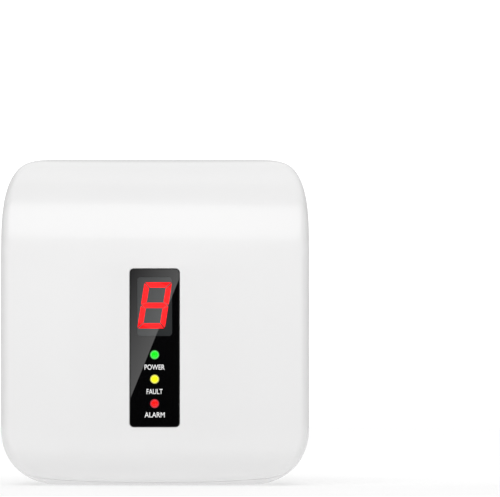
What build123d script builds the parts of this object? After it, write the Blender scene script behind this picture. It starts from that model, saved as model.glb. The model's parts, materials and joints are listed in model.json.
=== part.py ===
from build123d import *
import os
from math import cos, pi, radians, sin, sqrt

# Plug-in carbon monoxide detector, in millimetres.
# X runs to the right as the display is read, Z is up, and -Y is the side with the display.
# The origin is the middle of the plug block's face, midway between the two mains blades.

# casing
width = 82.4
top_z = 27.5
base_z = -60.0
rear_y = -8.5
front_y = -41.5
wall = 2.2
crown = 4.5                 # how far the front falls back at crown_reach from the middle
crown_reach = 45.0
brow_z = -3.0               # where the front starts to sweep back to the top
brow_r = top_z - brow_z
chin_r = 10.0
shoulder_x, shoulder_z = 12.3, 24.0
foot_x, foot_z = 16.0, 15.5
rear_inset = 11.0           # how far the rear face stays inside the outline
side_depth, base_depth, crest_depth = 10.0, 8.3, 4.0
seam_y = -35.5
seam_r = 28.0
seam_top_y = -12.8
seam_turn = 4.0             # the small turn where the line climbs through the crest
seam_gap = 0.2

# plug
block_half_x, block_half_z = 13.0, 9.2
plate_y = -7.8
plate_half_x, plate_top, plate_base = 28.5, 14.8, -29.3
joint_gap = 0.2
flange_t = 1.7
block_corner, block_edge = 1.8, 0.8
lip_wide, lip_tall = (62.0, 35.0, -9.5, 3.0), (44.0, 48.9, -7.45, 4.0)      # X, Z, middle Z, corner
blade_x = 6.35              # half of the distance between the blades
blade_wide, blade_thick, blade_long = 6.35, 1.5, 17.6
blade_hole_r, blade_hole_y = 1.6, 12.0
blade_tip_r = 1.6
blade_root = 12.5           # how far the full width goes back behind the block's face
blade_tail = -16.0
tail_long, tail_wide, eye_r = 3.5, 4.2, 0.9
sleeve_long, sleeve_root = 2.45, 3.0
waist = 0.35                # how deep the sleeve lies in the blade
wire_r = 0.65

# display window
window_half, window_top, window_base = 6.7, -1.9, -44.2
window_y = -41.35
window_t = 1.6
window_corner = 1.1
ledge = 0.9                 # how far the cover's ledge reaches in behind the panel
digit_half, digit_top, digit_base = 4.65, -4.2, -19.9
digit_mid_z = -11.75
digit_tall, digit_wide, digit_slant, stroke = 12.3, 7.3, 9.0, 1.4
bar_gap = 0.2               # between one light bar and the next, measured along the digit
led_heights = {"power_led": -24.9, "fault_led": -31.4, "alarm_led": -37.9}
led_r, led_base_r = 1.2, 1.5
led_base_y, led_base_t = -35.0, 2.6
lead_x, lead_r = 0.8, 0.25

# boards
board_t = 1.6
display_board_y = -33.5     # its front face
main_board_y = -20.0        # its rear face
screw_x, screw_top, screw_base = 30.3, 15.4, -46.8
boss_end_y = -22.0          # where the housing's bosses meet the cover's posts
boss_r, boss_root_y = 3.9, -9.9
well_r, shank_clear_r, head_seat_y = 2.25, 1.3, -19.8
post_r, post_long, post_pilot_r, post_pilot_deep = 3.0, 18.0, 1.2, 7.5
peg_r, peg_long, peg_pilot_r, peg_pilot_deep = 1.8, 7.0, 0.8, 4.0
board_post_r, pilot_r, pilot_deep = 2.6, 1.0, 7.0

# vents
vent_y, vent_z, vent_deep, vent_tall = -24.5, -25.2, 11.0, 39.8
vent_t, vent_lip_t, vent_lip_wide = 2.5, 1.0, 1.0
mouth_deep = 0.6
side_slots = (1.85, 4.32, 5, 9)              # pitch along Y and Z, columns and rows
rear_slots = (4.5, 1.76, 9, 11)              # pitch along X and Z, columns and rows
slot_wide, slot_tall, slot_corner, slot_mid_z = 3.4, 1.2, 0.35, -43.7

os.makedirs("parts", exist_ok=True)


def finish(piece, name):
    """Label a piece and write its file."""
    piece.part.label = name
    export_step(piece.part, f"parts/{name}.step")


def quarter(depth, at):
    """How far an elliptical edge of this depth still stays in, from 1 at the rear face to 0."""
    left = max(0.0, 1 - at / depth)
    return 1 - sqrt(1 - left * left)


def outline(y, half, top, base, shrink):
    """The casing seen from the front at one depth: flat sides, broad shoulders and round feet."""
    arm_x, arm_z = shoulder_x - 0.5 * shrink, shoulder_z - 0.9 * shrink
    leg_x, leg_z = foot_x - 0.8 * shrink, foot_z - 0.8 * shrink
    with BuildSketch(Plane.XZ.offset(-y)) as face:
        with BuildLine():
            Line((0, top), (half - arm_x, top))
            Bezier((half - arm_x, top), (half - arm_x * 0.26, top), (half, top - arm_z * 0.26),
                   (half, top - arm_z))
            Line((half, top - arm_z), (half, base + leg_z))
            Bezier((half, base + leg_z), (half, base + leg_z * 0.42), (half - leg_x * 0.42, base),
                   (half - leg_x, base))
            Line((half - leg_x, base), (0, base))
            mirror(about=Plane.YZ)
        make_face()
    return face.sketch


def tube_form(inset):
    """The outline carried from the rounded rear to past the front."""
    rear = rear_y - inset
    depth, spread = side_depth - inset, rear_inset - inset
    stations = []
    for step in range(8):
        back = depth * (1 - cos(pi / 14 * step))
        side = spread * quarter(depth, back)
        crest = spread * quarter(crest_depth, back)
        foot = spread * quarter(base_depth - inset, back)
        stations.append(outline(rear - back, width / 2 - inset - side, top_z - inset - crest,
                                base_z + inset + foot, inset + side))
    with BuildPart() as form:
        loft(stations)
        extrude(stations[-1], amount=30)
    return form


def face_form(inset):
    """The crowned front with its chin and its sweep back to the top, wider than the casing."""
    r, chin, behind = brow_r - inset, chin_r - inset, 5.0
    sections = []
    for x in (-crown_reach, 0, crown_reach):
        front = front_y + inset + crown * (x / crown_reach) ** 2
        middle = front + r
        with BuildSketch(Plane.YZ.offset(x)) as section:
            with BuildLine():
                Line((behind, brow_z + r), (behind, base_z + inset))
                Line((behind, base_z + inset), (front + chin, base_z + inset))
                ThreePointArc((front + chin, base_z + inset),
                              (front + chin * (1 - sqrt(0.5)), base_z + inset + chin * (1 - sqrt(0.5))),
                              (front, base_z + inset + chin))
                Line((front, base_z + inset + chin), (front, brow_z))
                ThreePointArc((front, brow_z), (middle - r * sqrt(0.5), brow_z + r * sqrt(0.5)),
                              (middle, brow_z + r))
                Line((middle, brow_z + r), (behind, brow_z + r))
            make_face()
        sections.append(section.sketch)
    with BuildPart() as form:
        loft(sections)
    return form


def casing_form(inset):
    """The casing's closed shape, drawn in by a wall thickness."""
    with BuildPart() as form:
        add(tube_form(inset).part)
        add(face_form(inset).part, mode=Mode.INTERSECT)
    return form


def front_side(back):
    """Everything on the display side of the seam, which stands back from the line by a gap."""
    edge, r, top_edge = seam_y + back, seam_r - back, seam_top_y + back
    middle, far, far_front = seam_y + seam_r, 80.0, front_y - 20.0
    meet_z = brow_z + sqrt(r ** 2 - (top_edge - middle) ** 2)
    with BuildPart() as side:
        with BuildSketch(Plane.YZ.offset(-width)) as profile:
            with BuildLine():
                Line((far_front, -far), (edge, -far))
                Line((edge, -far), (edge, brow_z))
                RadiusArc((edge, brow_z), (top_edge, meet_z), r)
                Line((top_edge, meet_z), (top_edge, far))
                Line((top_edge, far), (far_front, far))
                Line((far_front, far), (far_front, -far))
            make_face()
            fillet(profile.vertices().sort_by_distance((top_edge, meet_z))[0], seam_turn + back)
        extrude(amount=2 * width)
    return side


def front_plane(y):
    """A plane seen from the display side, with X across and Z up, at one depth."""
    return Plane.XZ.offset(-y)


def mirrored(x, *heights):
    """Places on both sides of the middle at each height."""
    return [(side * x, z) for side in (-1, 1) for z in heights]


def rounded_box(y, depth, half, top, base, r):
    """A sketch with round corners, drawn at one depth and carried towards the display."""
    with BuildSketch(front_plane(y)) as face:
        with Locations((0, (top + base) / 2)):
            RectangleRounded(2 * half, top - base, r)
    return extrude(face.sketch, amount=depth)


def plate_outline(y, grow):
    """The plug plate's edge: wide round corners above, tighter ones below."""
    half, top, base = plate_half_x + grow, plate_top + grow, plate_base - grow
    with BuildSketch(front_plane(y)) as face:
        with Locations((0, (top + base) / 2)):
            Rectangle(2 * half, top - base)
        fillet(face.vertices().group_by(Axis.Y)[-1], 12.0 + grow)
        fillet(face.vertices().group_by(Axis.Y)[0], 4.5 + grow)
    return face.sketch


def screws(places, seat_y, head_r, head_t, shank_r, shank_long, way):
    """Like pan-head screws with a cross slot; way is +1 where the point looks to the display."""
    with BuildPart() as group:
        with BuildSketch(front_plane(seat_y)):
            with Locations(*places):
                Circle(head_r)
        extrude(amount=-way * head_t)
        with BuildSketch(front_plane(seat_y)):
            with Locations(*places):
                Circle(shank_r)
        extrude(amount=way * shank_long)
        with BuildSketch(front_plane(seat_y + way * head_t)):
            with Locations(*places):
                Rectangle(head_r * 1.2, head_r * 0.24)
                Rectangle(head_r * 0.24, head_r * 1.2)
        extrude(amount=way * head_t * 0.6, mode=Mode.SUBTRACT)
    return group


screw_places = mirrored(screw_x, screw_top, screw_base)
board_places = mirrored(23.0, -50.0) + mirrored(10.0, 20.0)
peg_places = mirrored(9.2, 0.2, -47.6)

casing = casing_form(0)
shell = casing.part - casing_form(wall).part

# Front cover: a crowned moulding with four screw posts, four pegs for the display board
# and a stepped opening for the window.
frame_w = 1.5                # the thickening round the opening
with BuildPart() as front_cover:
    with BuildSketch(front_plane(boss_end_y)):
        with Locations(*screw_places):
            Circle(post_r)
    extrude(amount=post_long)
    with BuildSketch(front_plane(display_board_y)):
        with Locations(*peg_places):
            Circle(peg_r)
    extrude(amount=peg_long)
    add(rounded_box(front_y + 3.2, 2, window_half + frame_w, window_top + frame_w, window_base - frame_w,
                    window_corner + frame_w))
    add(casing.part, mode=Mode.INTERSECT)
    add(shell & front_side(0).part)
    with BuildSketch(front_plane(window_y + window_t)):
        with Locations((0, (window_top + window_base) / 2)):
            RectangleRounded(2 * window_half, window_top - window_base, window_corner)
    extrude(amount=5, mode=Mode.SUBTRACT)
    with BuildSketch(front_plane(front_y + 5.5)):
        with Locations((0, (window_top + window_base) / 2)):
            RectangleRounded(2 * (window_half - ledge), window_top - window_base - 2 * ledge, 0.8)
    extrude(amount=6, mode=Mode.SUBTRACT)
    with BuildSketch(front_plane(boss_end_y)):
        with Locations(*screw_places):
            Circle(post_pilot_r)
    extrude(amount=post_pilot_deep, mode=Mode.SUBTRACT)
    with BuildSketch(front_plane(display_board_y)):
        with Locations(*peg_places):
            Circle(peg_pilot_r)
    extrude(amount=peg_pilot_deep, mode=Mode.SUBTRACT)
finish(front_cover, "front_cover")

# Rear housing: a tub with deep screw bosses, board posts, rear slots, an opening for the
# plug plate and one on each side for a vent insert.
wall_inside_y = rear_y - wall
with BuildPart() as rear_housing:
    with BuildSketch(front_plane(boss_root_y)):
        with Locations(*screw_places):
            Circle(boss_r)
    extrude(amount=boss_root_y - boss_end_y)
    with BuildSketch(front_plane(boss_root_y)):
        with Locations(*board_places):
            Circle(board_post_r)
    extrude(amount=boss_root_y - main_board_y)
    add(shell - front_side(seam_gap).part)
    with BuildSketch(front_plane(0)):
        with Locations(*screw_places):
            Circle(well_r)
    extrude(amount=-head_seat_y, mode=Mode.SUBTRACT)
    with BuildSketch(front_plane(head_seat_y + 1)):
        with Locations(*screw_places):
            Circle(shank_clear_r)
    extrude(amount=head_seat_y + 1 - boss_end_y + 1, mode=Mode.SUBTRACT)
    with BuildSketch(front_plane(main_board_y)):
        with Locations(*board_places):
            Circle(pilot_r)
    extrude(amount=-pilot_deep, mode=Mode.SUBTRACT)
    with BuildSketch(front_plane(rear_y + 3)):
        with Locations((0, slot_mid_z)):
            with GridLocations(*rear_slots):
                RectangleRounded(slot_wide, slot_tall, slot_corner)
    extrude(amount=wall + 5, mode=Mode.SUBTRACT)
    with BuildSketch(Plane.YZ.offset(-width)):
        with Locations((vent_y, vent_z)):
            RectangleRounded(vent_deep, vent_tall, 1.2)
    extrude(amount=2 * width, mode=Mode.SUBTRACT)
    extrude(plate_outline(rear_y + 3, joint_gap), amount=wall + 5, mode=Mode.SUBTRACT)
finish(rear_housing, "rear_housing")

# Side vents: a framed insert with small round-ended slots, clipped in from inside by a lip.
skin_x = width / 2 - 0.05
with BuildPart() as side_vent_right:
    with BuildSketch(Plane.YZ.offset(skin_x)):
        with Locations((vent_y, vent_z)):
            RectangleRounded(vent_deep - 0.24, vent_tall - 0.24, 1.1)
    extrude(amount=-vent_t)
    with BuildSketch(Plane.YZ.offset(skin_x - vent_t)):
        with Locations((vent_y, vent_z)):
            RectangleRounded(vent_deep + 2 * vent_lip_wide, vent_tall + 2 * vent_lip_wide, 2.0)
    extrude(amount=-vent_lip_t)
    with BuildSketch(Plane.YZ.offset(skin_x)):
        with Locations((vent_y, vent_z)):
            with GridLocations(*side_slots):
                SlotOverall(3.4, 1.1, rotation=90)
    extrude(amount=-mouth_deep, mode=Mode.SUBTRACT)
    with BuildSketch(Plane.YZ.offset(skin_x)):
        with Locations((vent_y, vent_z)):
            with GridLocations(*side_slots):
                SlotOverall(1.9, 1.09, rotation=90)
    extrude(amount=-2 * vent_t, mode=Mode.SUBTRACT)
finish(side_vent_right, "side_vent_right")

with BuildPart() as side_vent_left:
    add(side_vent_right.part.mirror(Plane.YZ))
finish(side_vent_left, "side_vent_left")

# Plug plate: carries the plug block outside and is held behind the housing wall by its lips.
lip_y = wall_inside_y - 0.05
with BuildPart() as plug_plate:
    extrude(plate_outline(plate_y, 0), amount=plate_y - lip_y)
    with BuildSketch(front_plane(lip_y)):
        for wide, tall, middle_z, corner in (lip_wide, lip_tall):
            with Locations((0, middle_z)):
                RectangleRounded(wide, tall, corner)
    extrude(amount=flange_t)
    with BuildSketch(front_plane(plate_y)):
        RectangleRounded(2 * block_half_x, 2 * block_half_z, block_corner)
    extrude(amount=plate_y)
    fillet(plug_plate.faces().sort_by(Axis.Y)[-1].edges(), block_edge)
    with BuildSketch(front_plane(2)):
        with GridLocations(2 * blade_x, 1, 2, 1):
            Rectangle(blade_thick + 0.06, blade_wide + 0.06)
    extrude(amount=16, mode=Mode.SUBTRACT)
finish(plug_plate, "plug_plate")


# Blades: flat strips with a detent hole, a rounded tip, a waist under the sleeve and a tail
# with an eye inside the casing.
def blade(x):
    """One blade, standing on its middle plane."""
    with BuildPart() as strip:
        with BuildSketch(Plane.YZ.offset(x)) as side:
            with Locations(((blade_long - blade_root) / 2, 0)):
                Rectangle(blade_long + blade_root, blade_wide)
            fillet(side.vertices().group_by(Axis.X)[-1], blade_tip_r)
            with Locations((blade_tail + tail_long / 2, 0)):
                Rectangle(tail_long, tail_wide)
            with Locations((blade_hole_y, 0)):
                Circle(blade_hole_r, mode=Mode.SUBTRACT)
            with Locations((blade_tail + tail_long / 2, 0)):
                Circle(eye_r, mode=Mode.SUBTRACT)
        extrude(amount=blade_thick / 2, both=True)
        with BuildSketch(front_plane(sleeve_long)):
            with Locations((x, 0)):
                Rectangle(blade_thick + 1, blade_wide + 1)
                Rectangle(blade_thick - 2 * waist, blade_wide - 2 * waist, mode=Mode.SUBTRACT)
        extrude(amount=sleeve_long + sleeve_root, mode=Mode.SUBTRACT)
    return strip


line_blade = blade(-blade_x)
finish(line_blade, "line_blade")
neutral_blade = blade(blade_x)
finish(neutral_blade, "neutral_blade")

with BuildPart() as blade_sleeves:
    with BuildSketch(front_plane(sleeve_long)):
        with GridLocations(2 * blade_x, 1, 2, 1):
            Rectangle(blade_thick, blade_wide)
            Rectangle(blade_thick - 2 * waist, blade_wide - 2 * waist, mode=Mode.SUBTRACT)
    extrude(amount=sleeve_long + sleeve_root)
finish(blade_sleeves, "blade_sleeves")


# Mains wires: from the blade tails sideways and forward to the main board.
def wire(side):
    """One insulated wire along straight runs joined by arcs, each as large as its runs allow."""
    points = [(side * 7.15, -14.2, 0), (side * 13.2, -14.4, 1.2), (side * 16.9, -16.3, 2.2),
              (side * 18.0, -19.7, 2.6)]
    radii = []
    for before, at, after in zip(points, points[1:], points[2:]):
        first, second = Vector(*at) - Vector(*before), Vector(*after) - Vector(*at)
        turn = radians(first.get_angle(second))
        radii.append(0.45 * min(first.length, second.length) / (sin(turn / 2) / cos(turn / 2)))
    with BuildPart() as run:
        with BuildLine() as path:
            FilletPolyline(*points, radius=radii)
        with BuildSketch(Plane(origin=points[0], z_dir=path.line % 0)):
            Circle(wire_r)
        sweep()
    length = sum(edge.length for edge in path.edges())
    print(f"wire length {length:.2f}, radii {[round(r, 1) for r in radii]},"
          f" volume ratio {run.part.volume / (pi * wire_r ** 2 * length):.3f}")
    return run


live_wire = wire(-1)
finish(live_wire, "live_wire")
neutral_wire = wire(1)
finish(neutral_wire, "neutral_wire")

# Window panel: a gloss panel in the cover's opening, with one opening for the digit and three
# holes for the indicator lamps.
lamp_places = [(0, z) for z in led_heights.values()]
with BuildPart() as window_panel:
    with BuildSketch(front_plane(window_y + window_t)):
        with Locations((0, (window_top + window_base) / 2)):
            RectangleRounded(2 * window_half - 0.16, window_top - window_base - 0.16, 1.0)
        with Locations((0, (digit_top + digit_base) / 2)):
            RectangleRounded(2 * digit_half + 0.1, digit_top - digit_base + 0.1, 0.85,
                             mode=Mode.SUBTRACT)
        with Locations(*lamp_places):
            Circle(led_r + 0.05, mode=Mode.SUBTRACT)
    extrude(amount=window_t)
finish(window_panel, "window_panel")


# Digit display: a dark body with seven pockets, each filled by its own light bar.
def leaned(points):
    """Corners about the digit's middle, leaned over to the right and set at its height."""
    lean = sin(radians(digit_slant)) / cos(radians(digit_slant))
    return [(x + z * lean, digit_mid_z + z) for x, z in points]


def bars(y, depth):
    """The digit's seven bars, drawn at one depth: mitred at the corners, pointed in the middle."""
    half_w, half_h, gap = digit_wide / 2, digit_tall / 2, bar_gap
    end, point = half_w - gap, half_w - gap - 0.8 * stroke
    outlines = [[(-end, 0), (-point, stroke / 2), (point, stroke / 2), (end, 0),
                 (point, -stroke / 2), (-point, -stroke / 2)]]
    for up in (-1, 1):
        outlines.append([(-end, up * half_h), (end, up * half_h),
                         (end - stroke, up * (half_h - stroke)),
                         (stroke - end, up * (half_h - stroke))])
        for side in (-1, 1):
            outlines.append([(side * half_w, up * (half_h - gap)), (side * half_w, up * gap),
                             (side * (half_w - stroke), up * (stroke / 2 + gap)),
                             (side * (half_w - stroke), up * (half_h - stroke - gap))])
    with BuildPart() as group:
        with BuildSketch(front_plane(y)):
            for points in outlines:
                Polygon(*leaned(points), align=None)
        extrude(amount=depth)
    return group


face_y = window_y + 0.15
display_back_y = display_board_y - 0.3
digit_segments = bars(face_y + 0.4, 0.45)
finish(digit_segments, "digit_segments")

with BuildPart() as digit_display:
    add(rounded_box(display_back_y, display_back_y - face_y, digit_half, digit_top, digit_base, 0.8))
    add(bars(face_y + 0.4, 2).part, mode=Mode.SUBTRACT)
finish(digit_display, "digit_display")

pin_places = mirrored(3.81, *[digit_mid_z + 2.54 * step for step in range(-2, 3)])
with BuildPart() as display_pins:
    with BuildSketch(front_plane(display_back_y + 3.2)):
        with Locations(*pin_places):
            Circle(0.25)
    extrude(amount=3.2)
finish(display_pins, "display_pins")


# Indicator lamps: a round lens in the panel, a wider body behind it and two leads.
def lamp(z):
    """One lamp at its height."""
    with BuildPart() as body:
        with BuildSketch(front_plane(led_base_y)):
            with Locations((0, z)):
                Circle(led_base_r)
        extrude(amount=led_base_t)
        with BuildSketch(front_plane(led_base_y - led_base_t)):
            with Locations((0, z)):
                Circle(led_r)
        extrude(amount=led_base_y - led_base_t - face_y)
        fillet(body.faces().sort_by(Axis.Y)[0].edges(), 0.3)
        with BuildSketch(front_plane(display_board_y + 1.5)):
            with Locations((-lead_x, z), (lead_x, z)):
                Circle(lead_r)
        extrude(amount=3.1)
    return body


for name, height in led_heights.items():
    finish(lamp(height), name)

with BuildPart() as led_holder:
    add(rounded_box(-34.3, 4.2, 2.6, -22.6, -40.2, 0.6))
    with BuildSketch(front_plane(-34.0)):
        with Locations(*lamp_places):
            Circle(1.56)
    extrude(amount=6, mode=Mode.SUBTRACT)
finish(led_holder, "led_holder")

# Display board: carries the digit, the lamps and the controller, screwed to the cover's pegs.
lead_places = [(x, z) for x in (-lead_x, lead_x) for z in led_heights.values()]
header_z = -48.0
header_places = [(2.54 * step, header_z) for step in (-1.5, -0.5, 0.5, 1.5)]
display_rear_y = display_board_y + board_t
with BuildPart() as display_board:
    add(rounded_box(display_rear_y, board_t, 11.2, 2.2, -50.0, 0.8))
    with BuildSketch(front_plane(display_rear_y + 1)):
        with Locations(*pin_places, *lead_places):
            Circle(0.4)
        with Locations(*header_places):
            Circle(0.5)
        with Locations(*peg_places):
            Circle(0.95)
    extrude(amount=4, mode=Mode.SUBTRACT)
finish(display_board, "display_board")

display_screws = screws(peg_places, display_rear_y, 1.7, 1.1, 0.78, 5.0, 1)
finish(display_screws, "display_screws")

with BuildPart() as controller_chip:
    add(rounded_box(display_rear_y + 2.2, 2.0, 3.8, -24.0, -34.0, 0.2))
    with BuildSketch(front_plane(display_rear_y + 0.3)):
        for side in (-1, 1):
            for step in range(7):
                with Locations((side * 4.6, -29.0 + 1.27 * (step - 3))):
                    Rectangle(1.8, 0.4)
    extrude(amount=0.25)
finish(controller_chip, "controller_chip")

# Main board: the mains and sensing board, on four posts of the rear housing.
main_front_y = main_board_y - board_t
sensor_at, sensor_pins = (-19.2, -40.0), [(-19.2, -37.0), (-21.8, -41.5), (-16.6, -41.5)]
with BuildPart() as main_board:
    add(rounded_box(main_board_y, board_t, 26.0, 12.0, -54.0, 1.5))
    add(rounded_box(main_board_y, board_t, 14.0, 23.0, 0.0, 1.5))
    with BuildSketch(front_plane(main_board_y + 1)):
        with Locations(*board_places):
            Circle(1.2)
        with Locations(*header_places, *sensor_pins):
            Circle(0.5)
    extrude(amount=4, mode=Mode.SUBTRACT)
finish(main_board, "main_board")

board_screws = screws(board_places, main_front_y, 2.0, 1.3, pilot_r - 0.02, 7.0, -1)
finish(board_screws, "board_screws")

housing_screws = screws(screw_places, head_seat_y, 2.0, 1.6, 1.18, 8.5, 1)
finish(housing_screws, "housing_screws")

with BuildPart() as board_header:
    add(rounded_box(display_rear_y + 7.8, 7.8, 5.2, header_z + 1.3, header_z - 1.3, 0.3))
    with BuildSketch(front_plane(-20)):
        with Locations(*header_places):
            Circle(0.5)
    extrude(amount=14, mode=Mode.SUBTRACT)
finish(board_header, "board_header")

with BuildPart() as header_pins:
    with BuildSketch(front_plane(main_board_y + 1.4)):
        with Locations(*header_places):
            Circle(0.32)
    extrude(amount=main_board_y + 1.4 - display_board_y + 0.8)
finish(header_pins, "header_pins")

# Carbon monoxide cell: a metal can with a crimped cap, whose middle hole lets air in.
can_r, can_long = 7.0, 9.0
with BuildPart() as gas_sensor_can:
    with BuildSketch(front_plane(main_front_y - 0.6)):
        with Locations(sensor_at):
            Circle(can_r)
    extrude(amount=can_long)
    fillet(gas_sensor_can.faces().sort_by(Axis.Y)[-1].edges(), 0.6)
finish(gas_sensor_can, "gas_sensor_can")

with BuildPart() as gas_sensor_cap:
    with BuildSketch(front_plane(main_front_y - 6.0)):
        with Locations(sensor_at):
            Circle(can_r + 0.75)
    extrude(amount=5.0)
    with BuildSketch(front_plane(main_front_y - 6.0)):
        with Locations(sensor_at):
            Circle(can_r + 0.03)
    extrude(amount=3.65, mode=Mode.SUBTRACT)
    with BuildSketch(front_plane(main_front_y)):
        with Locations(sensor_at):
            Circle(1.3)
    extrude(amount=14, mode=Mode.SUBTRACT)
    fillet(gas_sensor_cap.faces().sort_by(Axis.Y)[0].edges().sort_by(SortBy.LENGTH)[-1], 0.7)
finish(gas_sensor_cap, "gas_sensor_cap")

with BuildPart() as gas_sensor_pins:
    with BuildSketch(front_plane(main_board_y + 1.2)):
        with Locations(*sensor_pins):
            Circle(0.4)
    extrude(amount=main_board_y + 1.2 - main_front_y + 0.6)
finish(gas_sensor_pins, "gas_sensor_pins")

# Sounder: a thin brass disc clamped in a moulded chamber with a round sound hole.
sounder_at, sounder_r = (13.8, -39.5), 10.5
with BuildPart() as sounder_case:
    with BuildSketch(front_plane(main_front_y - 0.05)):
        with Locations(sounder_at):
            Circle(sounder_r)
    extrude(amount=7.4)
    with BuildSketch(front_plane(main_front_y - 0.05)):
        with Locations(sounder_at):
            Circle(sounder_r - 1.2)
    extrude(amount=6.2, mode=Mode.SUBTRACT)
    with BuildSketch(front_plane(main_front_y)):
        with Locations(sounder_at):
            Circle(1.9)
    extrude(amount=9, mode=Mode.SUBTRACT)
    fillet(sounder_case.faces().sort_by(Axis.Y)[0].edges().sort_by(SortBy.LENGTH)[-1], 0.7)
finish(sounder_case, "sounder_case")

with BuildPart() as sounder_disc:
    with BuildSketch(front_plane(main_front_y - 3.2)):
        with Locations(sounder_at):
            Circle(sounder_r - 1.25)
    extrude(amount=0.3)
finish(sounder_disc, "sounder_disc")

# Transformer: an E-core around a wound bobbin.
core_x, core_z, core_w, core_t, limb = -18.0, -11.0, 13.0, 6.0, 2.6
with BuildPart() as transformer_core:
    with BuildSketch(Plane.XY.offset(core_z - core_t / 2)):
        with Locations((core_x, main_front_y - 7.1)):
            Rectangle(core_w, 10.4)
        with Locations((core_x - 3.25, main_front_y - 7.1), (core_x + 3.25, main_front_y - 7.1)):
            Rectangle(3.4, 10.4 - 2 * limb, mode=Mode.SUBTRACT)
    extrude(amount=core_t)
finish(transformer_core, "transformer_core")

with BuildPart() as transformer_winding:
    with BuildSketch(Plane.XZ.offset(-main_front_y + 4.6)):
        with Locations((core_x, core_z)):
            RectangleRounded(9.7, 12.4, 1.6)
            Rectangle(3.2, core_t + 0.1, mode=Mode.SUBTRACT)
    extrude(amount=5.0)
finish(transformer_winding, "transformer_winding")


def can(name, x, z, r, long, along):
    """A round part lying along Z, or standing on the board along Y."""
    plane = Plane.XY.offset(z) if along == "Z" else front_plane(main_front_y - 0.1)
    place = (x, main_front_y - r - 0.1) if along == "Z" else (x, z)
    with BuildPart() as body:
        with BuildSketch(plane):
            with Locations(place):
                Circle(r)
        extrude(amount=long)
        fillet(body.edges().filter_by(GeomType.CIRCLE), 0.5)
    finish(body, name)


def block(name, x, z, wide, tall, deep):
    """A moulded part with soft edges on the main board's front."""
    with BuildPart() as body:
        with BuildSketch(front_plane(main_front_y - 0.1)):
            with Locations((x, z)):
                RectangleRounded(wide, tall, 0.6)
        extrude(amount=deep)
        fillet(body.faces().sort_by(Axis.Y)[0].edges(), 0.4)
    finish(body, name)


# Small parts of the mains side and the supply.
can("mains_capacitor", 18.5, -19.0, 5.0, 16.0, "Z")
can("output_capacitor", 17.0, 5.5, 3.15, 9.0, "Y")
can("choke", 5.5, -19.0, 3.0, 6.5, "Y")
can("fuse", -21.5, 0.5, 1.9, 9.0, "Z")
block("film_capacitor", 2.0, 6.5, 13.0, 5.0, 9.5)
block("varistor", -11.5, 6.0, 7.6, 3.6, 8.0)
block("bridge_rectifier", 3.5, -4.0, 8.4, 6.4, 3.0)
block("regulator", -5.5, -24.0, 4.6, 4.0, 1.6)
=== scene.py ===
import json
import bpy
import numpy as np
from math import pi, radians
from mathutils import Matrix, Vector


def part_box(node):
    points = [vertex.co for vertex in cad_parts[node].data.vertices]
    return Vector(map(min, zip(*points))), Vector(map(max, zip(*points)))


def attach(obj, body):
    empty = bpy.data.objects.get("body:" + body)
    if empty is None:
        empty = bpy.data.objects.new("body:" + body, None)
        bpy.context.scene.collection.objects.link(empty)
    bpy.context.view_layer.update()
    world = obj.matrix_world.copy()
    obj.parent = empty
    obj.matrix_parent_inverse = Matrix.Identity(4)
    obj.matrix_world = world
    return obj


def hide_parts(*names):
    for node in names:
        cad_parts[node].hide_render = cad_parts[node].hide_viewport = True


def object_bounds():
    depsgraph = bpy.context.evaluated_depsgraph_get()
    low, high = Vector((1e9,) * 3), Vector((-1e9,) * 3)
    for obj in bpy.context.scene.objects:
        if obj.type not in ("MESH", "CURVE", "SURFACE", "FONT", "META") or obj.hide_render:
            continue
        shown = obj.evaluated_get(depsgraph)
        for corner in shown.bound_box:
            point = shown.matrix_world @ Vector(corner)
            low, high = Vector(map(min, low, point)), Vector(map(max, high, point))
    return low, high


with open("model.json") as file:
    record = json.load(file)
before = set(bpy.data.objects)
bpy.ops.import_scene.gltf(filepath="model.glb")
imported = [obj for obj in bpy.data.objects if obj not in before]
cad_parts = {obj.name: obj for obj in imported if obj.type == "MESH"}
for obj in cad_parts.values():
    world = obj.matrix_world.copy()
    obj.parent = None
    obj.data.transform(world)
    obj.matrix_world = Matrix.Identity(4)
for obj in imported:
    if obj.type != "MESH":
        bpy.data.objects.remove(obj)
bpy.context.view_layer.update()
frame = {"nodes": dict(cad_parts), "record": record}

MM = 0.001

# Casing form. The front cover and the rear housing are two mouldings of one closed form:
# flat sides, broad shoulders, rounder feet, a crowned front that sweeps back over the top,
# and a rear that rolls off all round. Both halves are worked out here and then parted.
HALF = 41.2
TOP = 27.5
BASE = -60.0
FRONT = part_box("front_cover")[0][1] / MM
REAR = -8.5
WALL = 2.2
BROW = -3.0
CHIN = 10.0
RIM = 2.6                                # radius of the rolled edge round the front
SEAM_MIDDLE, SEAM_R, SEAM_TURN, SEAM_CREST = -7.5, 28.0, 4.0, -12.8
SEAM_GAP = 0.2
SHOULDER = (12.3, 24.0, 3.0)             # a corner's reach across, its reach up, and its power
FOOT = (16.0, 15.5, 2.15)
CROWN, CROWN_REACH = 4.5, 45.0           # how far the front falls back, and at what half width
REAR_ROLL, CREST_DEPTH, FOOT_DEPTH, SIDE_DEPTH = 11.0, 4.0, 8.3, 10.0
CORE = np.array((0.0, -22.0, -17.0))


def quarter(depth, at):
    """How far an elliptical edge still stays in: 1 at the rear face, 0 where it is spent."""
    left = np.clip(1 - at / depth, 0, 1)
    return 1 - np.sqrt(1 - left * left)


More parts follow.
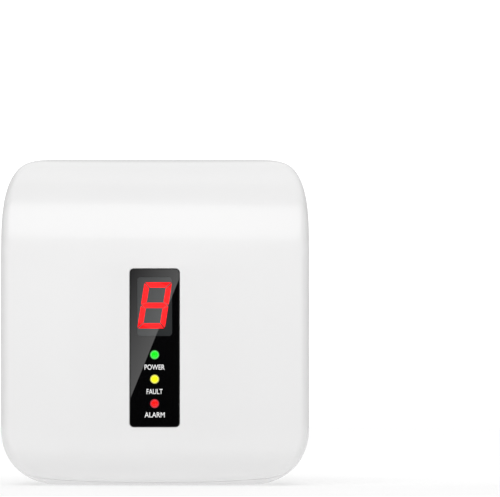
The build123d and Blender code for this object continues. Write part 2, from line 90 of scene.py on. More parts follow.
def outline_gap(x, z, half, top, base, shrink):
    """Distance to the front outline, negative inside: each corner is a superellipse, and the
    distance is its value less one, over the length of its slope."""
    upper = z > (top + base) / 2
    arm_x = np.where(upper, SHOULDER[0] - 0.5 * shrink, FOOT[0] - 0.8 * shrink)
    arm_z = np.where(upper, SHOULDER[1] - 0.9 * shrink, FOOT[1] - 0.8 * shrink)
    power = np.where(upper, SHOULDER[2], FOOT[2])
    u = (np.abs(x) - (half - arm_x)) / arm_x
    v = np.where(upper, z - (top - arm_z), (base + arm_z) - z) / arm_z
    flat = np.maximum(np.abs(x) - half, np.where(upper, z - top, base - z))
    a, b = np.clip(u, 1e-9, None), np.clip(v, 1e-9, None)
    size = (a ** power + b ** power) ** (1 / power)
    slope = np.hypot((a / size) ** (power - 1) / arm_x, (b / size) ** (power - 1) / arm_z)
    return np.where((u > 0) & (v > 0), (size - 1) / slope, flat)


def front_depth(x, z, inset):
    """Depth of the crowned front: flat up the middle, a quarter circle over the brow, a smaller
    one under the chin, all set back by a parabola across the width."""
    r, chin = TOP - BROW - inset, CHIN - inset
    rise = np.clip((z - BROW) / r, 0, 1)
    dip = np.clip(((BASE + inset + chin) - z) / chin, 0, 1)
    back = CROWN * (x / CROWN_REACH) ** 2 * (1 - rise ** 12)
    return FRONT + inset + back + r * (1 - np.sqrt(1 - rise ** 2)) + chin * (1 - np.sqrt(1 - dip ** 2))


def casing_gap(p, inset):
    """Zero on the casing: the outline, drawn in towards the rear, meets the front depth in a
    rolled edge whose radius fades where the two already run together."""
    x, y, z = p[..., 0], p[..., 1], p[..., 2]
    back = REAR - inset - y
    side = (REAR_ROLL - inset) * quarter(SIDE_DEPTH - inset, back)
    crest = (REAR_ROLL - inset) * quarter(CREST_DEPTH, back)
    foot = (REAR_ROLL - inset) * quarter(FOOT_DEPTH - inset, back)
    tube = outline_gap(x, z, HALF - inset - side, TOP - inset - crest, BASE + inset + foot, inset + side)
    tube = np.maximum(tube, -back)
    step = 0.05
    here = front_depth(x, z, inset)
    along = (front_depth(x + step, z, inset) - here) / step
    up = (front_depth(x, z + step, inset) - here) / step
    lean = 1 / np.sqrt(1 + along ** 2 + up ** 2)
    face = (here - y) * lean
    r = np.clip(RIM - inset, 0.3, None) * lean + 1e-6
    a, b = tube + r, face + r
    return np.minimum(np.maximum(a, b), 0) + np.hypot(np.clip(a, 0, None), np.clip(b, 0, None)) - r


def outline_points(count_corner, count_flat):
    """Points round the outline, anticlockwise from the middle of the right side: four
    superellipse corners joined by evenly divided flats."""
    t = np.linspace(0, pi / 2, count_corner)
    rows = []
    for sx, sz in ((1, 1), (-1, 1), (-1, -1), (1, -1)):
        ax, az, power = SHOULDER if sz > 0 else FOOT
        c, s = np.cos(t) ** (2 / power), np.sin(t) ** (2 / power)
        edge = TOP if sz > 0 else BASE
        points = np.stack((sx * (HALF - ax + ax * c), edge - sz * az + sz * az * s), 1)
        rows.append(points if sx * sz > 0 else points[::-1])
    loop = []
    for k in range(4):
        loop.append(rows[k])
        start, end = rows[k][-1], rows[(k + 1) % 4][0]
        loop.append(start + (end - start) * np.linspace(0, 1, count_flat + 2)[1:-1, None])
    return np.concatenate(loop)


def casing_points(inset):
    """A grid of rings from the front pole to the rear pole. Each guess lies on a box-like form and
    is slid along its line from the core until casing_gap is zero, by halving an interval."""
    loop = outline_points(34, 30)
    middle = np.array((0.0, CORE[2]))
    guesses = []
    for s in 1 - np.linspace(1, 0, 46)[1:] ** 1.7:
        ring = middle + (loop - middle) * s
        guesses.append(np.insert(ring, 1, FRONT + 3, axis=1))
    for y in np.concatenate((np.linspace(FRONT + 3.3, -32, 22), np.linspace(-31, -19, 13),
                             np.linspace(-18.3, REAR - 0.3, 22))):
        guesses.append(np.insert(loop, 1, y, axis=1))
    for s in np.linspace(1, 0, 40)[:-1]:
        ring = middle + (loop - middle) * s
        guesses.append(np.insert(ring, 1, REAR, axis=1))
    ways = np.stack(guesses) - CORE
    near, far = np.full(ways.shape[:2], 0.2), np.full(ways.shape[:2], 1.8)
    for _ in range(42):
        half = (near + far) / 2
        inside = casing_gap(CORE + ways * half[..., None], inset) < 0
        near, far = np.where(inside, half, near), np.where(inside, far, half)
    return CORE + ways * near[..., None]


def closed_mesh(name, rings, poles=None):
    """A mesh from rings of points, each joined to the next. Each end is closed by one flat face, or
    by a fan to its pole."""
    count, around = rings.shape[:2]
    points = rings.reshape(-1, 3)
    index = np.arange(count * around).reshape(count, around)
    after = np.roll(index, -1, axis=1)
    faces = np.stack((index[:-1], index[1:], after[1:], after[:-1]), -1).reshape(-1, 4).tolist()
    if poles is None:
        faces += [index[0].tolist(), index[-1].tolist()[::-1]]
    else:
        first, last = count * around, count * around + 1
        points = np.concatenate((points, np.array(poles)))
        faces += [(first, a, b) for a, b in zip(index[0].tolist(), after[0].tolist())]
        faces += [(last, b, a) for a, b in zip(index[-1].tolist(), after[-1].tolist())]
    mesh = bpy.data.meshes.new(name)
    mesh.from_pydata((points * MM).tolist(), [], faces)
    return mesh


def casing_mesh(name, inset):
    """The whole casing form, closed at a pole in the middle of the front and of the rear."""
    rings = casing_points(inset)
    poles = [(0, y, CORE[2]) for y in (front_depth(0.0, CORE[2], inset), REAR - inset)]
    return closed_mesh(name, rings, poles)


def rounded_loop(half_x, top, base, r_top, r_base, count=9):
    """A rectangle with round corners as (x, z) points, from its lower right flat upwards."""
    t = np.linspace(0, pi / 2, count)
    corners = []
    places = ((1, top, r_top), (-1, top, r_top), (-1, base, r_base), (1, base, r_base))
    for k, (sx, z, r) in enumerate(places):
        turn = t + k * pi / 2
        sz = 1 if z == top else -1
        corners.append(np.stack((sx * (half_x - r) + r * np.cos(turn), z - sz * r + r * np.sin(turn)), 1))
    return np.concatenate(corners)


def round_loop(x, z, r, count=32):
    """A circle as (x, z) points."""
    t = np.arange(count) * 2 * pi / count
    return np.stack((x + r * np.cos(t), z + r * np.sin(t)), 1)


def along_y(stages):
    """Rings facing front to rear: each stage is a loop of (x, z) points and its depth."""
    return np.stack([np.insert(loop, 1, y, axis=1) for loop, y in stages])


def carve(mesh, *steps):
    """Joins, keeps or cuts away closed meshes one after another, and gives the mesh that is left."""
    body = bpy.data.objects.new("carving", mesh)
    bpy.context.scene.collection.objects.link(body)
    tools = []
    for how, tool in steps:
        other = bpy.data.objects.new("tool", tool)
        bpy.context.scene.collection.objects.link(other)
        tools.append(other)
        step = body.modifiers.new(how, "BOOLEAN")
        step.operation, step.object, step.solver = how, other, "MANIFOLD"
    graph = bpy.context.evaluated_depsgraph_get()
    result = bpy.data.meshes.new_from_object(body.evaluated_get(graph))
    for each in [body] + tools:
        bpy.data.objects.remove(each)
    return result


def joined(name, meshes):
    """Several closed meshes as one mesh, for cutting with all of them at once."""
    points, faces, start = [], [], 0
    for mesh in meshes:
        flat = np.empty(len(mesh.vertices) * 3)
        mesh.vertices.foreach_get("co", flat)
        points.append(flat.reshape(-1, 3))
        faces += [tuple(start + v for v in face.vertices) for face in mesh.polygons]
        start += len(mesh.vertices)
    whole = bpy.data.meshes.new(name)
    whole.from_pydata(np.concatenate(points).tolist(), [], faces)
    return whole


def place(name, mesh, material, slot, *nodes, sharp=32):
    """The finished piece: smooth but for its sharp edges, riding on the body, in place of its node."""
    mesh.name = name
    mesh.materials.clear()
    mesh.materials.append(material)
    mesh.shade_smooth()
    mesh.set_sharp_from_angle(angle=radians(sharp))
    piece = bpy.data.objects.new(name, mesh)
    bpy.context.scene.collection.objects.link(piece)
    shading = piece.modifiers.new("weighted_normals", "WEIGHTED_NORMAL")
    shading.keep_sharp = True
    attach(piece, "root")
    if nodes:
        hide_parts(*nodes)
    return piece


def seam_side(name, back):
    """Everything on the display side of the seam: straight up the sides, then an arc that follows the
    brow, and a small turn up through the crest. It is carried right across the width."""
    r, turn, middle = SEAM_R - back, SEAM_TURN + back, SEAM_MIDDLE
    turn_y = SEAM_CREST + back - turn
    turn_z = BROW + np.sqrt((r + turn) ** 2 - (turn_y - middle) ** 2)
    way = np.arctan2(turn_z - BROW, middle - turn_y)
    t = np.linspace(0, way, 60)
    arc = np.stack((middle - r * np.cos(t), BROW + r * np.sin(t)), 1)
    t = np.linspace(-way, 0, 16)[1:]
    climb = np.stack((turn_y + turn * np.cos(t), turn_z + turn * np.sin(t)), 1)
    rest = [(climb[-1][0], 45), (-70, 45), (-70, -90), (middle - r, -90)]
    profile = np.concatenate((arc, climb, rest))[::-1]
    return closed_mesh(name, np.stack([np.insert(profile, 0, x, axis=1) for x in (-60, 60)]))


# Front cover. One glossy moulded shell with a stepped opening for the window. Behind it stand four screw
# posts, which carry it to the rear housing, and four pegs for the display's board. A fine parting line
# runs between the two mouldings.
def node(tree, kind, **values):
    """A node with its settings and inputs given by name. An input's name is its label, or i and its
    number; a pair (node, output) makes a link."""
    made = tree.nodes.new(kind)
    for key, value in values.items():
        numbered = key[0] == "i" and key[1:].isdigit()
        if not numbered and hasattr(made, key):
            setattr(made, key, value)
            continue
        socket = made.inputs[int(key[1:]) if numbered else key.replace("_", " ")]
        if isinstance(value, tuple) and isinstance(value[0], bpy.types.Node):
            tree.links.new(value[0].outputs[value[1]], socket)
        else:
            socket.default_value = value
    return made


def effect(name, inputs, outputs):
    """An empty shader group with named number inputs and named outputs."""
    tree = bpy.data.node_groups.new(name, "ShaderNodeTree")
    for label, value in inputs.items():
        tree.interface.new_socket(label, in_out="INPUT", socket_type="NodeSocketFloat").default_value = value
    for label, kind in outputs.items():
        tree.interface.new_socket(label, in_out="OUTPUT", socket_type=kind)
    return tree, tree.nodes.new("NodeGroupInput"), tree.nodes.new("NodeGroupOutput")


def moulded_group():
    """Moulded plastic: a cloudy drift in tone and gloss, and the faint ripple of a polished tool."""
    gives = {"Mottle": "NodeSocketFloat", "Gloss": "NodeSocketFloat", "Normal": "NodeSocketVector"}
    tree, given, out = effect("moulded", {"Drift": 28.0, "Ripple": 700.0, "Depth": 0.25}, gives)
    place_at = node(tree, "ShaderNodeTexCoord")
    cloud = node(tree, "ShaderNodeTexNoise", Vector=(place_at, "Object"), Scale=(given, "Drift"), Detail=3.0)
    fine = node(tree, "ShaderNodeTexNoise", Vector=(place_at, "Object"), Scale=(given, "Ripple"), Detail=2.0)
    gloss = node(tree, "ShaderNodeMath", operation="MULTIPLY", i0=(cloud, "Fac"), i1=(fine, "Fac"))
    ripple = node(tree, "ShaderNodeBump", Height=(fine, "Fac"), Strength=(given, "Depth"), Distance=0.00002)
    tree.links.new(cloud.outputs["Fac"], out.inputs["Mottle"])
    tree.links.new(gloss.outputs[0], out.inputs["Gloss"])
    tree.links.new(ripple.outputs["Normal"], out.inputs["Normal"])
    return tree


moulded = moulded_group()


def plastic(name, dark, light, rough, coat=0.0, drift=28.0, ripple=700.0, depth=0.25):
    """A moulded plastic between two close tones and over a narrow range of roughness."""
    material = bpy.data.materials.new(name)
    material.use_nodes = True
    tree = material.node_tree
    shader = tree.nodes["Principled BSDF"]
    grain = node(tree, "ShaderNodeGroup", node_tree=moulded, Drift=drift, Ripple=ripple, Depth=depth)
    tone = node(tree, "ShaderNodeMix", data_type="RGBA", i0=(grain, "Mottle"), i6=(*dark, 1), i7=(*light, 1))
    spread = node(tree, "ShaderNodeMapRange", Value=(grain, "Gloss"), i3=rough[0], i4=rough[1])
    tree.links.new(tone.outputs[2], shader.inputs["Base Color"])
    tree.links.new(spread.outputs[0], shader.inputs["Roughness"])
    tree.links.new(grain.outputs["Normal"], shader.inputs["Normal"])
    shader.inputs["Coat Weight"].default_value = coat
    shader.inputs["Coat Roughness"].default_value = 0.06
    return material


white = plastic("white_moulding", (0.862, 0.86, 0.86), (0.898, 0.896, 0.896), (0.2, 0.32), coat=0.35)

screw_places = [(x, z) for x in (-30.3, 30.3) for z in (15.4, -46.8)]
peg_places = [(x, z) for x in (-9.2, 9.2) for z in (0.2, -47.6)]
window_low, window_high = (np.array(c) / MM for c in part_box("window_panel"))
WINDOW_GAP = 0.08
window_half = window_high[0] + WINDOW_GAP
window_top, window_base = window_high[2] + WINDOW_GAP, window_low[2] - WINDOW_GAP
window_seat = window_high[1] + 0.02      # the plane of the ledge behind the panel
POST_R, POST_FACE, POST_PILOT_R, POST_PILOT_END = 3.0, -22.05, 1.2, -29.5
PEG_R, PEG_FACE, PEG_PILOT_R, PEG_PILOT_END = 1.8, -33.52, 0.8, -37.5
ROOT_DEPTH = 1.2                         # how far a post runs into the cover's wall


def post(x, z, r, start, depth_in):
    """A round post from a plane forward into the cover's wall: its far ring follows the front."""
    loop = round_loop(x, z, r)
    far = front_depth(loop[:, 0], loop[:, 1], 0) + depth_in
    near = np.insert(loop, 1, start, axis=1)
    return closed_mesh("post", np.stack((np.stack((loop[:, 0], far, loop[:, 1]), 1), near)))


def pilot(x, z, r, far, near):
    """A screw's pilot hole as a cutter, from its blind end to past the post's face."""
    return closed_mesh("pilot", along_y([(round_loop(x, z, r, 20), far), (round_loop(x, z, r, 20), near)]))


def opening():
    """The window's stepped opening with a softened lip, as a cutter."""
    def loop(g, r):
        return rounded_loop(window_half + g, window_top + g, window_base - g, r, r)
    return closed_mesh("opening", along_y([
        (loop(0.6, 1.7), FRONT - 1), (loop(0.25, 1.35), FRONT - 0.02), (loop(0.07, 1.17), FRONT + 0.06),
        (loop(0, 1.1), FRONT + 0.22), (loop(0, 1.1), window_seat),
        (loop(-0.9, 0.8), window_seat), (loop(-0.9, 0.8), FRONT + 6)]))


outer, inner = casing_mesh("outer", 0), casing_mesh("inner", WALL)
shell = carve(outer.copy(), ("DIFFERENCE", inner.copy()))
ledge_loop = rounded_loop(window_half + 1.5, window_top + 1.5, window_base - 1.5, 2.5, 2.5)
ledge = closed_mesh("ledge", along_y([(ledge_loop, FRONT + 1), (ledge_loop, FRONT + 3.2)]))
posts = joined("posts", [post(x, z, POST_R, POST_FACE, ROOT_DEPTH) for x, z in screw_places] + [ledge])
pegs = joined("pegs", [post(x, z, PEG_R, PEG_FACE, ROOT_DEPTH) for x, z in peg_places])
cover_pilots = joined("cover_pilots", [
    pilot(x, z, POST_PILOT_R, POST_PILOT_END, -21) for x, z in screw_places] + [
    pilot(x, z, PEG_PILOT_R, PEG_PILOT_END, -32.5) for x, z in peg_places])
cover = carve(shell.copy(), ("INTERSECT", seam_side("seam", 0)), ("UNION", posts), ("UNION", pegs),
              ("DIFFERENCE", opening()), ("DIFFERENCE", cover_pilots))
place("front_cover_moulding", cover, white, "shell", "front_cover")

# Rear housing. A tub moulded in the same plastic, rolled off all round, with the plug plate's opening,
# a field of slots below it, a vent opening in each side and four deep screw wells.
SLOT_PITCH_X, SLOT_PITCH_Z, SLOT_MIDDLE_Z = 4.5, 1.76, -43.7
vent_places = [((c - 4) * SLOT_PITCH_X, SLOT_MIDDLE_Z + (r - 5) * SLOT_PITCH_Z)
               for r in range(11) for c in range(9)]
SHANK_R, WELL_R, WELL_FLOOR = 1.3, 2.25, -19.8
BOSS_R, BOSS_FACE, BOSS_ROOT = 3.9, -22.0, -9.9
BOARD_POST_R, BOARD_POST_FACE, BOARD_PILOT_R, BOARD_PILOT_END = 2.6, -19.98, 1.0, -13


def well(x, z):
    """A screw well as a cutter: a round shaft with a softened mouth and a narrower floor hole."""
    return closed_mesh("well", along_y([
        (round_loop(x, z, SHANK_R), -23), (round_loop(x, z, SHANK_R), WELL_FLOOR),
        (round_loop(x, z, WELL_R), WELL_FLOOR), (round_loop(x, z, WELL_R), REAR - 0.35),
        (round_loop(x, z, 2.35), REAR - 0.1),
        (round_loop(x, z, 2.6), REAR + 0.02), (round_loop(x, z, 3.4), REAR + 1)]))


def slot(x, z):
    """One rear slot as a cutter, with its mouth opened a little."""
    def loop(g):
        return rounded_loop(1.7 + g, z + 0.6 + g, z - 0.6 - g, 0.35 + g, 0.35 + g, 4) + (x, 0)
    stages = [(loop(0), -16), (loop(0), REAR - 0.14), (loop(0.12), REAR + 0.01), (loop(0.12), REAR + 2)]
    return closed_mesh("slot", along_y(stages))


def plate_loop(grow):
    """The plug plate's edge, grown all round."""
    return rounded_loop(28.5 + grow, 14.8 + grow, -29.3 - grow, 12 + grow, 4.5 + grow, 14)


plate_hole = closed_mesh("plate_hole", along_y([
    (plate_loop(0.2), -15), (plate_loop(0.2), REAR - 0.3), (plate_loop(0.32), REAR - 0.08),
    (plate_loop(0.6), REAR + 0.04), (plate_loop(0.6), REAR + 3)]))


VENT_MIDDLE_Y, VENT_MIDDLE_Z = -24.5, -25.2


def side_loop(grow, x, r=1.2):
    """The side vent's opening as a loop in a plane across X."""
    loop = rounded_loop(5.5 + grow, -5.3 + grow, -45.1 - grow, r + grow, r + grow, 7) + (VENT_MIDDLE_Y, 0)
    return np.insert(loop, 0, x, axis=1)


def side_hole(side):
    """The side vent's opening as a cutter with a softened lip, on one side of the housing."""
    rings = [side_loop(g, side * x) for g, x in ((0.5, HALF + 1), (0.2, HALF + 0.01), (0.05, HALF - 0.08),
                                                 (0, HALF - 0.25), (0, HALF - 5))]
    return closed_mesh("side_hole", np.stack(rings[::-1] if side < 0 else rings))


board_places = [(-23.0, -50.0), (23.0, -50.0), (-10.0, 20.0), (10.0, 20.0)]
boss_kinds = ((screw_places, BOSS_R, BOSS_FACE), (board_places, BOARD_POST_R, BOARD_POST_FACE))
bosses = joined("bosses", [
    closed_mesh("boss", along_y([(round_loop(x, z, r), far), (round_loop(x, z, r), BOSS_ROOT)]))
    for places, r, far in boss_kinds for x, z in places])
holes = joined("holes", [well(x, z) for x, z in screw_places] + [slot(x, z) for x, z in vent_places]
               + [pilot(x, z, BOARD_PILOT_R, -21, BOARD_PILOT_END) for x, z in board_places]
               + [plate_hole, side_hole(-1), side_hole(1)])
tub = carve(shell, ("DIFFERENCE", seam_side("seam", SEAM_GAP)), ("UNION", bosses), ("DIFFERENCE", holes))
place("rear_housing_moulding", tub, white, "shell", "rear_housing")

# Side vents. Each is a framed insert in the same plastic, clipped in from inside by a lip, with small
# round-ended slots that narrow to a short opening.
VENT_PITCH_Y, VENT_PITCH_Z = 1.85, 4.32


def vent_slot(y, z):
    """One side slot as a cutter: a softened mouth that narrows to a short opening."""
    rings = []
    for half_wide, half_tall, x in ((0.72, 1.87, HALF + 0.5), (0.72, 1.87, HALF - 0.04),
                                    (0.6, 1.75, HALF - 0.12), (0.55, 1.7, HALF - 0.28),
                                    (0.55, 1.7, HALF - 0.75), (0.54, 0.95, HALF - 0.8),
                                    (0.54, 0.95, HALF - 5)):
        turn = half_wide * 0.98
        flat = rounded_loop(half_wide, half_tall, -half_tall, turn, turn, 6)
        rings.append(np.insert(flat + (y, z), 0, x, axis=1))
    return closed_mesh("slot", np.stack(rings))


def side_vent(side):
    """One insert: a soft-edged plate and its lip, less five columns of nine stepped slots."""
    stages = ((-0.34, HALF - 0.05), (-0.2, HALF - 0.1), (-0.12, HALF - 0.3), (-0.12, HALF - 2.6))
    insert = closed_mesh("insert", np.stack([side_loop(g, x) for g, x in stages]))
    lip = closed_mesh("lip", np.stack([side_loop(1.0, x) for x in (HALF - 2.55, HALF - 3.55)]))
    cuts = [vent_slot(VENT_MIDDLE_Y + VENT_PITCH_Y * (column - 2), VENT_MIDDLE_Z + VENT_PITCH_Z * (row - 4))
            for column in range(5) for row in range(9)]
    mesh = carve(insert, ("UNION", lip), ("DIFFERENCE", joined("slots", cuts)))
    if side < 0:
        mesh.transform(Matrix.Scale(-1, 4, (1, 0, 0)))
        mesh.flip_normals()
    return mesh


place("side_vent_right_insert", side_vent(1), white, "shell", "side_vent_right")
place("side_vent_left_insert", side_vent(-1), white, "shell", "side_vent_left")

# Plug plate. A raised plate with a fine joint line round it, and the block that carries the blades.
# Both are one moulding in the casing's plastic, with rolled edges and a fillet at the block's foot.
plate = closed_mesh("plate", along_y([
    (plate_loop(0), -10.8), (plate_loop(0), -8.25), (plate_loop(-0.06), -8.02), (plate_loop(-0.2), -7.87),
    (plate_loop(-0.45), -7.8)]))
turns = np.linspace(0, pi / 2, 7)
foot = [(0.9 * (1 - np.sin(t)), -7.85 + 0.9 * (1 - np.cos(t))) for t in turns]
brim = [(-1.1 * (1 - np.cos(t)), -1.1 * (1 - np.sin(t))) for t in turns]
BLOCK_HALF, BLOCK_HALF_TALL = 13, 9.2
block = closed_mesh("block", along_y([(rounded_loop(13.9, 10.1, -10.1, 2.7, 2.7), -9)] + [
    (rounded_loop(BLOCK_HALF + g, BLOCK_HALF_TALL + g, -BLOCK_HALF_TALL - g, 1.9 + g, 1.9 + g), y)
    for g, y in foot + brim]))
lips = joined("lips", [
    closed_mesh("wide", along_y([(rounded_loop(31, 8, -27, 3, 3), y) for y in (-12.45, -10.75)])),
    closed_mesh("tall", along_y([(rounded_loop(22, 17, -31.9, 4, 4), y) for y in (-12.4, -10.8)]))])
BLADE_X = 6.35                           # half the distance between the blades
blade_slots = joined("blade_slots", [
    closed_mesh("slot", along_y([(rounded_loop(0.78, 3.2, -3.2, 0.1, 0.1, 3) + (x, 0), y) for y in (-14, 2)]))
    for x in (-BLADE_X, BLADE_X)])
plug_part = carve(plate, ("UNION", block), ("UNION", lips), ("DIFFERENCE", blade_slots))
place("plug_plate_moulding", plug_part, white, "shell", "plug_plate")

# Blades. Flat nickel-plated strips with rounded tips and a detent hole, waisted at the root, where a dark
# grey band flush with their faces is a painted reflection, standing in for the metal's dark mirror image.
def brushed_group():
    """Rolled metal: long fine streaks along the strip over a slow drift in tone."""
    gives = {"Streak": "NodeSocketFloat", "Normal": "NodeSocketVector"}
    tree, given, out = effect("rolled", {"Fine": 1.0}, gives)
    place_at = node(tree, "ShaderNodeTexCoord")
    stretch = node(tree, "ShaderNodeMapping", Vector=(place_at, "Object"), Scale=(2500, 90, 2500))
    streak = node(tree, "ShaderNodeTexNoise", Vector=(stretch, "Vector"), Scale=(given, "Fine"), Detail=4.0)
    grain = node(tree, "ShaderNodeBump", Height=(streak, "Fac"), Strength=0.2, Distance=0.00002)
    tree.links.new(streak.outputs["Fac"], out.inputs["Streak"])
    tree.links.new(grain.outputs["Normal"], out.inputs["Normal"])
    return tree


rolled = brushed_group()


def metal(name, dark, light, rough, fine=1.0):
    """A bare or plated metal with rolled streaks in tone and roughness."""
    material = bpy.data.materials.new(name)
    material.use_nodes = True
    tree = material.node_tree
    shader = tree.nodes["Principled BSDF"]
    grain = node(tree, "ShaderNodeGroup", node_tree=rolled, Fine=fine)
    tone = node(tree, "ShaderNodeMix", data_type="RGBA", i0=(grain, "Streak"), i6=(*dark, 1), i7=(*light, 1))
    spread = node(tree, "ShaderNodeMapRange", Value=(grain, "Streak"), i3=rough[0], i4=rough[1])
    tree.links.new(tone.outputs[2], shader.inputs["Base Color"])
    tree.links.new(spread.outputs[0], shader.inputs["Roughness"])
    tree.links.new(grain.outputs["Normal"], shader.inputs["Normal"])
    shader.inputs["Metallic"].default_value = 1.0
    return material


nickel = metal("nickel", (0.82, 0.8, 0.775), (0.95, 0.935, 0.915), (0.24, 0.38))
# Painted reflection: a dark grey for the band round the blades' roots, standing in for the dark mirror image
# on the plated metal.
painted_reflection_grey = plastic("painted_reflection_grey", (0.075, 0.073, 0.072), (0.115, 0.112, 0.11), (0.4, 0.6), drift=120)


def strip(x, stages, low_y, high_y, half_tall, r):
    """A flat strip standing across X: its (y, z) outline, drawn in towards both faces."""
    def loop(g):
        turn = max(r - g, 0.05)
        flat = rounded_loop((high_y - low_y) / 2 - g, half_tall - g, g - half_tall, turn, turn, 8)
        return flat + ((high_y + low_y) / 2, 0)
    return closed_mesh("strip", np.stack([np.insert(loop(g), 0, x + at, axis=1) for g, at in stages]))


BLADE_HALF_TALL, BLADE_HALF, BLADE_END, REFLECTION_BAND_END = 3.175, 0.75, 17.6, 2.45
DETENT = (12.0, 1.6)                     # its distance from the plug face, and its radius
TAIL_EYE = (-14.25, 0.9)
blade_edges = ((0.22, 0.75), (0.06, 0.69), (0, 0.53), (0, -0.53), (0.06, -0.69), (0.22, -0.75))
bore_stages = ((0.5, 1.2), (0.16, 0.77), (0.03, 0.68), (0, 0.55),
               (0, -0.55), (0.03, -0.68), (0.16, -0.77), (0.5, -1.2))


def waist(x):
    """The thinner core of a blade, which the dark band of painted reflection is set round."""
    return strip(x, ((0.0, 0.4), (0.0, -0.4)), -11, 4, 2.825, 0.1)


def bore(x, y, r):
    """A hole through a blade as a cutter, with both mouths a little opened."""
    ring = round_loop(y, 0, 1.0)
    return closed_mesh("bore", np.stack([
        np.insert((ring - (y, 0)) * (r + g) + (y, 0), 0, x + at, axis=1) for g, at in bore_stages]))


for name, x in (("line_blade", -BLADE_X), ("neutral_blade", BLADE_X)):
    tip = strip(x, blade_edges, -9.0, BLADE_END, BLADE_HALF_TALL, 1.6)
    # The blade is cut away here for the dark band of painted reflection.
    band_room = closed_mesh("band_room", along_y([
        (rounded_loop(1.2, 4, -4, 0.1, 0.1, 2) + (x, 0), y) for y in (-12, REFLECTION_BAND_END)]))
    root = strip(x, ((0.0, BLADE_HALF), (0.0, -BLADE_HALF)), -12.5, -3.0, BLADE_HALF_TALL, 0.3)
    tail = strip(x, ((0.1, 0.75), (0.0, 0.6), (0.0, -0.6), (0.1, -0.75)), -16, -11, 2.1, 0.6)
    bores = joined("bores", [bore(x, *DETENT), bore(x, *TAIL_EYE)])
    blade = carve(tip, ("DIFFERENCE", band_room), ("UNION", waist(x)), ("UNION", root), ("UNION", tail),
                  ("DIFFERENCE", bores))
    place(name + "_strip", blade, nickel, "blade_metal", name)

# Dark bands round the blade roots, flush with the metal: a painted reflection made as a part.
reflection_bands = []
for x in (-BLADE_X, BLADE_X):
    band = closed_mesh("band", along_y([
        (rounded_loop(0.75 + g, 3.175 + g, -3.175 - g, 0.25 + g, 0.25 + g, 4) + (x, 0), y)
        for g, y in ((0, -3), (0, 2.4), (-0.04, REFLECTION_BAND_END))]))
    reflection_bands.append(carve(band, ("DIFFERENCE", waist(x))))
place("blade_painted_reflection_bands", joined("reflection_bands", reflection_bands), painted_reflection_grey, "blade_sleeve", "blade_sleeves")

# Window panel. Gloss black acrylic, flush in the cover, with a clear cut for the digit and three round
# holes for the lamps. Its edges are only just broken.
lamp_heights = {name: sum(c[2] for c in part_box(name)) / 2 / MM
                for name in ("power_led", "fault_led", "alarm_led")}
digit_low, digit_high = (np.array(c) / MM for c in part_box("digit_display"))
acrylic = plastic("gloss_black_acrylic", (0.001, 0.001, 0.0012), (0.002, 0.002, 0.0024), (0.0, 0.008),
                  drift=60, ripple=60, depth=0.0)
window_front, window_rear = window_low[1], window_high[1]


def window_loop(grow):
    """The panel's outline, grown all round."""
    grow -= 0.09
    return rounded_loop(window_half + grow, window_top + grow, window_base - grow, 1.11 + grow, 1.11 + grow)


LAMP_GAP_R = 1.21
panel = closed_mesh("panel", along_y([
    (window_loop(-0.16), window_front), (window_loop(-0.06), window_front + 0.03),
    (window_loop(0), window_front + 0.14), (window_loop(0), window_rear)]))
gaps = [closed_mesh("digit_gap", along_y([
    (rounded_loop(digit_high[0] + g, digit_high[2] + g, digit_low[2] - g, 0.85 + g, 0.85 + g), y)
    for g, y in ((0.12, window_front - 1), (0.05, window_front - 0.01), (0.02, window_front + 0.04),
                 (0.02, window_rear + 1))]))]
for z in lamp_heights.values():
    gaps.append(closed_mesh("lamp_gap", along_y([
        (round_loop(0, z, LAMP_GAP_R + g, 48), y)
        for g, y in ((0.12, window_front - 1), (0.05, window_front - 0.01),
                     (0, window_front + 0.05), (0, window_rear + 1))])))
cut_panel = carve(panel, ("DIFFERENCE", joined("gaps", gaps)))
place("window_panel_acrylic", cut_panel, acrylic, "window", "window_panel", sharp=8)

# Legends. One short word under each lamp, printed in white on the panel's face. Each is set, sized to its
# own width and laid just proud of the acrylic.
print_white = plastic("print_white", (0.9, 0.9, 0.9), (0.97, 0.97, 0.97), (0.5, 0.6), drift=300)
CAP_HEIGHT, PRINT_LIFT, PRINT_THICK = 1.38, 0.012, 0.02
words = (("power_legend", "POWER", -28.2, 5.4), ("fault_legend", "FAULT", -34.7, 4.3),
         ("alarm_legend", "ALARM", -40.9, 5.4))
for name, word, z, wide in words:
    text = bpy.data.curves.new(name, "FONT")
    text.body, text.align_x, text.align_y = word, "CENTER", "CENTER"
    text.offset, text.extrude = 0.012, 0.01
    holder = bpy.data.objects.new(name, text)
    bpy.context.scene.collection.objects.link(holder)
    mesh = bpy.data.meshes.new_from_object(holder.evaluated_get(bpy.context.evaluated_depsgraph_get()))
    bpy.data.objects.remove(holder)
    flat = np.empty(len(mesh.vertices) * 3)
    mesh.vertices.foreach_get("co", flat)
    flat = flat.reshape(-1, 3)
    flat -= (flat.min(0) + flat.max(0)) / 2
    span = flat.max(0) - flat.min(0)
    placed = np.stack((flat[:, 0] / span[0] * wide,
                       window_front - PRINT_LIFT - flat[:, 2] / span[2] * PRINT_THICK,
                       z + flat[:, 1] / span[1] * CAP_HEIGHT), 1)
    mesh.vertices.foreach_set("co", (placed * MM).ravel())
    place(name, mesh, print_white, "shell")

